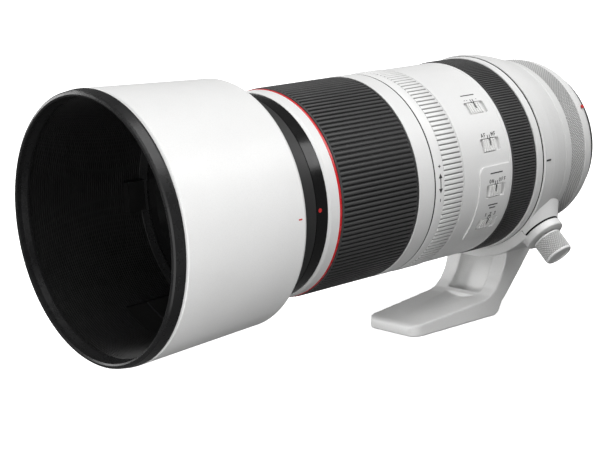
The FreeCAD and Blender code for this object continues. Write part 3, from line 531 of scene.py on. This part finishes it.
# ---- printed marks -------------------------------------------------------------------------
GLYPHS = {
    "1": (((0.2, 0.75), (0.5, 1.0), (0.5, 0.0)),),
    "2": (((0.1, 0.8), (0.3, 1.0), (0.7, 1.0), (0.9, 0.8), (0.9, 0.6), (0.1, 0.0), (0.95, 0.0)),),
    "3": (((0.1, 0.9), (0.4, 1.0), (0.8, 0.9), (0.8, 0.62), (0.4, 0.53), (0.85, 0.42), (0.85, 0.12),
           (0.4, 0.0), (0.1, 0.1)),),
    "O": (((0.5, 1.0), (0.15, 0.8), (0.1, 0.5), (0.15, 0.2), (0.5, 0.0), (0.85, 0.2), (0.9, 0.5),
           (0.85, 0.8), (0.5, 1.0)),),
    "N": (((0.1, 0.0), (0.1, 1.0), (0.9, 0.0), (0.9, 1.0)),),
    "F": (((0.15, 0.0), (0.15, 1.0), (0.9, 1.0)), ((0.15, 0.52), (0.75, 0.52))),
    "A": (((0.0, 0.0), (0.5, 1.0), (1.0, 0.0)), ((0.2, 0.35), (0.8, 0.35))),
    "M": (((0.05, 0.0), (0.05, 1.0), (0.5, 0.35), (0.95, 1.0), (0.95, 0.0)),),
    "+": (((0.5, 0.2), (0.5, 0.8)), ((0.15, 0.5), (0.85, 0.5))),
    "-": (((0.15, 0.5), (0.85, 0.5)),),
    "|": (((0.5, 0.0), (0.5, 1.0)),),
}


class Print:
    """Thin raised prints that follow the barrel: strokes are given in (y, angle)."""

    def __init__(self, radius, lift=0.03):
        self.radius = radius
        self.lift = lift
        self.verts = []
        self.faces = []

    def stroke(self, y0, a0, y1, a1, width):
        """Straight stroke of even width between two (y, angle) points."""
        per_degree = self.radius * pi / 180
        dy, ds = y1 - y0, (a1 - a0) * per_degree
        length = (dy * dy + ds * ds) ** 0.5
        ny, na = -ds / length * width / 2, dy / length * width / 2 / per_degree
        steps = max(1, int(abs(ds) / 0.8))
        base = len(self.verts)
        for i in range(steps + 1):
            t = i / steps
            for side in (1, -1):
                for r in (self.radius + self.lift, self.radius - 0.25):
                    self.verts.append(place(r, y0 + dy * t + side * ny, a0 + (a1 - a0) * t + side * na))
        for i in range(steps):
            b = base + 4 * i
            for p, q in ((0, 1), (1, 3), (3, 2), (2, 0)):
                self.faces.append((b + p, b + q, b + 4 + q, b + 4 + p))
        last = base + 4 * steps
        self.faces += [(base, base + 2, base + 3, base + 1), (last, last + 1, last + 3, last + 2)]

    def dot(self, y, angle, size, sides=20):
        """Round dot of this radius."""
        per_degree = self.radius * pi / 180
        base = len(self.verts)
        for r in (self.radius + self.lift, self.radius - 0.25):
            for i in range(sides):
                t = 2 * pi * i / sides
                self.verts.append(place(r, y + size * cos(t), angle + size * sin(t) / per_degree))
        self.faces.append(tuple(base + i for i in range(sides)))
        self.faces.append(tuple(base + sides + i for i in reversed(range(sides))))
        for i in range(sides):
            k = (i + 1) % sides
            self.faces.append((base + i, base + k, base + sides + k, base + sides + i))

    def text(self, letters, y, angle, height, width=0.7, weight=0.16, gap=0.35, upright=True):
        """Row of glyphs centred on (y, angle): upright letters stand with their top towards +Z."""
        per_degree = self.radius * pi / 180
        total = len(letters) * width * height + (len(letters) - 1) * gap * height
        at = -total / 2
        for letter in letters:
            for line in GLYPHS.get(letter, ()):
                for (u0, v0), (u1, v1) in zip(line, line[1:]):
                    ends = []
                    for u, v in ((u0, v0), (u1, v1)):
                        along = at + u * width * height
                        up = (v - 0.5) * height
                        if upright:
                            ends.append((y + along, angle - up / per_degree))
                        else:
                            ends.append((y - up, angle - along / per_degree))
                    self.stroke(*ends[0], *ends[1], weight * height)
            at += (width + gap) * height

    def make(self, name, body, slot, material):
        return make_object(name, mesh_from(name, self.verts, self.faces, smooth=False), body, slot, material)


BARREL_R = 45.2          # outer radius of the barrel that carries the switches
PANEL_R = 45.8           # outer radius of its raised panel
FRONT_RING_R = 43.76     # outer radius of the black ring behind the hood
SWITCHES = ("switch_limit", "switch_focus", "switch_steady", "switch_mode")


def switch_place(node):
    """Centre y, angle and top radius of a switch slider."""
    points = points_of(node)
    middle = (points.min(0) + points.max(0)) / 2
    angle = float(np.degrees(np.arctan2(middle[0], middle[2])))
    out = points @ np.array(place(1.0, 0.0, angle))
    return middle[1], angle, out.max()


def barrel_marks():
    """Generic legends beside the switches, index ticks and plain bars where the maker had words."""
    plain = Print(BARREL_R)
    raised = Print(PANEL_R)
    for node in SWITCHES:
        y, angle = switch_place(node)[:2]
        on_panel = node in ("switch_steady", "switch_mode")
        marks = raised if on_panel else plain
        head = angle - 4.9
        for shift in (-0.7, 0.7):
            marks.stroke(y + shift, head + 1.4, y + shift, head - 0.8, 0.42)
        if node == "switch_limit":
            marks.text("--", y - 3.6, head - 0.6, 1.5)
            marks.text("-", y + 3.2, head - 0.6, 1.5)
            marks.stroke(y - 4.8, head - 4.0, y + 3.8, head - 4.0, 0.5)
        elif node == "switch_focus":
            marks.text("AF", y - 3.2, head - 0.9, 1.7, weight=0.2)
            marks.text("MF", y + 3.4, head - 0.9, 1.7, weight=0.2)
        elif node == "switch_steady":
            marks.text("ON", y - 3.2, head - 0.9, 1.6, weight=0.2)
            marks.text("OFF", y + 3.9, head - 0.9, 1.6, weight=0.2)
        else:
            for i, digit in enumerate("123"):
                marks.text(digit, y - 3.0 + 3.0 * i, head - 1.6, 1.7, weight=0.2)
    for angle, y0, y1 in ((90.6, -86.4, -78.4), (109.3, -85.6, -79.4), (111.2, -84.4, -80.4)):
        raised.stroke(y0, angle, y1, angle, 0.55)
    plain.make("legend_barrel", "main_barrel", "black_satin", MARK_BLACK)
    raised.make("legend_panel", "main_barrel", "black_satin", MARK_BLACK)


def switch_indexes():
    """Black index line printed across the upper half of each flat slider."""
    for node in SWITCHES:
        y, angle, top = switch_place(node)
        across = np.array(place(1.0, 0.0, angle + 90.0))
        out = np.array(place(1.0, 0.0, angle))
        edge = (points_of(node) @ across).min() + 0.15
        verts = [out * (top + lift) + across * t + np.array((0.0, y + side, 0.0))
                 for t in (edge, 0.4) for side in (-0.34, 0.34) for lift in (0.06, -0.3)]
        faces = [(0, 4, 6, 2), (1, 3, 7, 5), (0, 1, 5, 4), (2, 6, 7, 3), (0, 2, 3, 1), (4, 5, 7, 6)]
        name = node.replace("switch", "index")
        make_object(name, mesh_from(name, verts, faces, smooth=False), node, "black_satin", MARK_BLACK)


def taper_stroke(name, ends, angle, width, body, material):
    """Stroke along y on a cone: ends is ((y, radius), (y, radius))."""
    (y0, r0), (y1, r1) = ends
    verts = []
    for y, r in ((y0, r0), (y1, r1)):
        for side in (-1, 1):
            for depth in (0.0, 0.4):
                verts.append(place(r - depth, y, angle + side * width / 2 / (r * pi / 180)))
    faces = [(0, 2, 6, 4), (1, 5, 7, 3), (0, 1, 3, 2), (4, 6, 7, 5), (0, 4, 5, 1), (2, 3, 7, 6)]
    make_object(name, mesh_from(name, verts, faces, smooth=False), body, "black_satin", material)


def ring_marks():
    """Double arrow on the friction ring, tick on the collar, dots at the hood and the mount."""
    arrow = Print(45.3, 0.02)
    y = -117.9
    arrow.stroke(y, 86.5, y, 93.5, 0.5)
    for tip, way in ((84.7, 1), (95.3, -1)):
        for k in range(7):
            half = 0.12 + 0.15 * k
            a = tip + way * 0.34 * (k + 0.5)
            arrow.stroke(y - half, a, y + half, a, 0.34)
    arrow.text("+", y, 80.6, 2.6, weight=0.14, upright=False)
    arrow.text("-", y, 99.4, 2.6, weight=0.14, upright=False)
    arrow.make("friction_arrow", "tension_ring", "black_satin", MARK_BLACK)
    collar_r = [46.85 - (y + 49.6) * 0.75 / 7.6 + 0.12 for y in (-48.9, -45.4)]
    taper_stroke("collar_tick", ((-48.9, collar_r[0]), (-45.4, collar_r[1])), 90.0, 0.8,
                 "tripod_collar", MARK_BLACK)
    taper_stroke("hood_mark", ((-205.6, 52.33), (-203.8, 52.24)), 90.0, 0.6, "hood", MARK_RED)
    cover_r = span("rear_cover")[2]
    mark = Print(cover_r - 0.02, 0.05)
    mark.dot(-8.4, 61.5, 0.9)
    mark.make("mount_mark", "main_barrel", "red_gloss", MARK_RED)
    dot = Print(FRONT_RING_R, 0.03)
    dot.dot(-186.7, 90.5, 0.9)
    dot.make("hood_dot_front", "front_barrel", "red_gloss", MARK_RED)


def front_band():
    """Satin band in front of the glossy part of the black ring, as a very thin sleeve."""
    r = FRONT_RING_R
    rows = ((r + 0.05, -199.0), (r + 0.05, -188.85), (r - 0.2, -188.6), (r - 0.2, -199.0))
    verts, faces = wrapped(240, 4, lambda j, i: place(rows[j][0], rows[j][1], i * 1.5))
    make_object("front_band", mesh_from("front_band", verts, faces), "front_barrel", "black_satin",
                FRONT_SATIN)


def lug_gap_shade():
    """Dark disc in the slit between the collar's pad and the lug that the knob clamps: painted shade for the
    shadow inside the slit.
    """
    outer, inner, top, low = LUG_R - 0.05, 2.6, LUG_SEAM + 0.1, LUG_SEAM - 0.66
    rows = ((outer, top), (outer, low), (inner, low), (inner, top))
    verts, faces = wrapped(64, 4, lambda j, i: place(rows[j][0], rows[j][1], i * 360.0 / 64))
    turn = Vector((0, 1, 0)).rotation_difference(Vector(place(1.0, 0.0, KNOB_ANGLE))).to_matrix()
    verts = [tuple(turn @ Vector(v) + Vector((0, KNOB_Y, 0))) for v in verts]
    make_object("lug_gap_shade", mesh_from("lug_gap_shade", verts, faces), "tripod_collar", "black_matte", GAP_SHADE)


def gap_shade_ring(name, y0, y1, outer, body):
    """Dark narrow ring in the gap between two barrel sections: painted shade for the shadow inside the gap.
    """
    rows = ((outer, y0), (outer, y1), (outer - 0.8, y1), (outer - 0.8, y0))
    verts, faces = wrapped(180, 4, lambda j, i: place(rows[j][0], rows[j][1], i * 2.0))
    make_object(name, mesh_from(name, verts, faces), body, "black_matte", GAP_SHADE)


zoom_grip()
focus_grip()
tension_ring()
control_ring()
clamp_knob()
softened("tripod_foot", "tripod_foot_cast", 0.5, 6, "tripod_collar", "white_cast")
barrel_marks()
switch_indexes()
ring_marks()
front_band()
lug_gap_shade()
# Painted shade in the gaps at the zoom band and at the collar.
gap_shade_ring("gap_shade_zoom", -121.48, -121.02, 45.22, "main_barrel")
gap_shade_ring("gap_shade_collar", -50.4, -50.02, 46.16, "main_barrel")


# ---- floor, light and camera ---------------------------------------------------------------
def floor():
    """Plain pale floor that the foot stands on."""
    level = CAD_BOX[0][2] / MM - 0.02
    rings = (300.0, 900.0, 3000.0, 9000.0)
    verts, faces = [], []
    steps = 96
    for r in rings:
        verts += [(r * sin(2 * pi * i / steps), r * cos(2 * pi * i / steps), level) for i in range(steps)]
    verts.append((0.0, 0.0, level))
    for k in range(len(rings) - 1):
        for i in range(steps):
            j = (i + 1) % steps
            faces.append((k * steps + i, k * steps + j, (k + 1) * steps + j, (k + 1) * steps + i))
    faces += [(i, (i + 1) % steps, len(verts) - 1) for i in range(steps)]
    data = mesh_from("floor", verts, faces, smooth=False)
    piece = bpy.data.objects.new("floor", data)
    bpy.context.scene.collection.objects.link(piece)
    s = Shader("floor_white")
    s.put(s.bsdf.inputs["Base Color"], s.mixed(s.noise(3.0), (0.90, 0.90, 0.90), (0.88, 0.88, 0.88)))
    s.put(s.bsdf.inputs["Roughness"], s.ramp(s.noise(30.0), 0.3, 0.7, 0.85, 0.95))
    s.bsdf.inputs["Specular IOR Level"].default_value = 0.1
    s.bsdf.inputs["Emission Color"].default_value = (1.0, 1.0, 1.0, 1.0)
    s.bsdf.inputs["Emission Strength"].default_value = FLOOR_GLOW
    data.materials.append(s.material)
    piece.visible_diffuse = False
    piece.visible_glossy = False
    piece.visible_transmission = False


def backdrop():
    """Pale dome behind everything: it is seen directly, and neither lights nor shades the lens."""
    level = CAD_BOX[0][2] / MM - 1.0
    steps, rows = 96, 24
    verts, faces = [], []
    for j in range(rows):
        rise = pi / 2 * j / rows
        radius, height = BACKDROP_R * cos(rise), level + BACKDROP_R * sin(rise)
        verts += [(radius * sin(2 * pi * i / steps), radius * cos(2 * pi * i / steps), height)
                  for i in range(steps)]
    for low in range(0, (rows - 1) * steps, steps):
        faces += [(low + i, low + (i + 1) % steps, low + steps + (i + 1) % steps, low + steps + i)
                  for i in range(steps)]
    faces.append(tuple((rows - 1) * steps + i for i in range(steps)))
    data = mesh_from("backdrop", verts, faces, smooth=True, sharp=None)
    piece = bpy.data.objects.new("backdrop", data)
    bpy.context.scene.collection.objects.link(piece)
    s = Shader("backdrop_white")
    s.put(s.bsdf.inputs["Base Color"], s.mixed(s.noise(0.6), (0.90, 0.90, 0.90), (0.88, 0.88, 0.88)))
    s.bsdf.inputs["Roughness"].default_value = 1.0
    s.bsdf.inputs["Specular IOR Level"].default_value = 0.0
    s.bsdf.inputs["Emission Color"].default_value = (1.0, 1.0, 1.0, 1.0)
    s.bsdf.inputs["Emission Strength"].default_value = BACKDROP_GLOW
    data.materials.append(s.material)
    for kind in ("diffuse", "glossy", "transmission", "shadow"):
        setattr(piece, "visible_" + kind, False)


FLOOR_GLOW = 0.78
BACKDROP_R = 8500.0
BACKDROP_GLOW = 0.95
WORLD_LIGHT = 0.135
SUN_TILT = 20.0          # degrees from straight up, towards the switches
SUN_STRENGTH = 2.9
SUN_SPREAD = 60.0
LIGHTS = (      # place in mm, aim, width, height, watts, whether shiny pieces mirror it
    ((480.0, -880.0, 330.0), (0.0, -190.0, -20.0), 600.0, 600.0, 0.91, True),
    ((190.0, -360.0, -70.0), (20.0, -225.0, -15.0), 300.0, 260.0, 0.39, True),
    ((300.0, 160.0, 300.0), (20.0, -45.0, 10.0), 200.0, 200.0, 0.45, True),
    ((0.0, -700.0, -40.0), (0.0, -90.0, -72.0), 500.0, 60.0, 1.1, False),
    ((-600.0, -420.0, 260.0), (0.0, -130.0, 0.0), 400.0, 400.0, 2.6, True),
)


def lights():
    world = bpy.data.worlds.new("studio")
    bpy.context.scene.world = world
    world.use_nodes = True
    background = world.node_tree.nodes["Background"]
    background.inputs["Color"].default_value = (1.0, 1.0, 1.0, 1.0)
    background.inputs["Strength"].default_value = WORLD_LIGHT
    sun = bpy.data.lights.new("overhead", "SUN")
    sun.energy = SUN_STRENGTH
    sun.angle = radians(SUN_SPREAD)
    holder = bpy.data.objects.new("overhead", sun)
    bpy.context.scene.collection.objects.link(holder)
    holder.rotation_euler = (0.0, radians(SUN_TILT), 0.0)
    for i, (where, aim, width, height, watts, mirrored) in enumerate(LIGHTS):
        lamp = bpy.data.lights.new(f"softbox_{i}", "AREA")
        lamp.shape = "RECTANGLE"
        lamp.size = width * MM
        lamp.size_y = height * MM
        lamp.energy = watts
        holder = bpy.data.objects.new(f"softbox_{i}", lamp)
        bpy.context.scene.collection.objects.link(holder)
        holder.location = Vector(where) * MM
        holder.visible_camera = False
        holder.visible_glossy = mirrored
        holder.rotation_euler = (Vector(aim) - Vector(where)).to_track_quat("-Z", "Y").to_euler()


def camera():
    lens = bpy.data.cameras.new("camera")
    lens.lens = 89.17
    lens.sensor_width = 36.0
    lens.sensor_fit = "HORIZONTAL"
    lens.clip_start = 0.02
    lens.clip_end = 40.0
    holder = bpy.data.objects.new("camera", lens)
    bpy.context.scene.collection.objects.link(holder)
    right = Vector((0.66453, 0.74556, -0.05038)).normalized()
    back = -Vector((-0.73728, 0.64319, -0.20670)).normalized()
    up = back.cross(right).normalized()
    right = up.cross(back)
    pose = Matrix((right, up, back)).transposed().to_4x4()
    pose.translation = Vector((0.47683, -0.57579, 0.11386))
    holder.matrix_world = pose
    bpy.context.scene.camera = holder


floor()
backdrop()
lights()
camera()
bpy.context.scene.view_settings.view_transform = "Standard"
